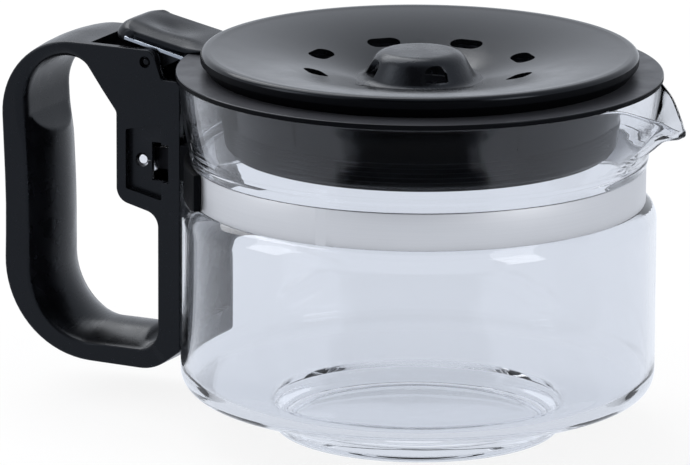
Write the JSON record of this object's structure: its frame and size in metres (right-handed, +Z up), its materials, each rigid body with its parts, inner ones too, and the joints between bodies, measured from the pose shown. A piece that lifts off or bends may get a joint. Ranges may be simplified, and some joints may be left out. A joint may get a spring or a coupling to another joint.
{
  "type": "coffee server carafe",
  "caption": "Low round glass coffee jug with a pouring spout, a steel neck band, a black loop handle clamped to the band and a hinged black lid with a thumb lever and a drip-through dish.",
  "frame": {"origin": "centre of the flat glass foot, on the surface it stands on", "axes": "+Z up along the jug's axis, +X towards the spout, the handle on -X"},
  "size_m": [0.224, 0.1474, 0.1181],
  "materials": {
    "clear_glass": "clear, smooth",
    "satin_steel": "satin",
    "bright_steel": "bright",
    "black_plastic": "satin",
    "black_gloss": "semi-gloss"
  },
  "bodies": {
    "jug": {"glass_jug": "clear_glass", "steel_band": "satin_steel", "clamp_shoe": "black_plastic", "handle": "black_plastic", "clamp_plate": "black_plastic", "clamp_screw": "bright_steel", "clamp_nut": "bright_steel", "hinge_pin": "black_plastic"},
    "lid": {"lid_ring": "black_gloss", "lid_skirt": "black_gloss", "lid_dish": "black_gloss", "drip_cap": "black_plastic"}
  },
  "joints": [
    {"name": "lid_hinge", "type": "hinge", "parent": "jug", "child": "lid", "pos_m": [-0.0857, 0, 0.1083], "axis": [0, -1, 0], "range_deg": [0, 85]}
  ]
}
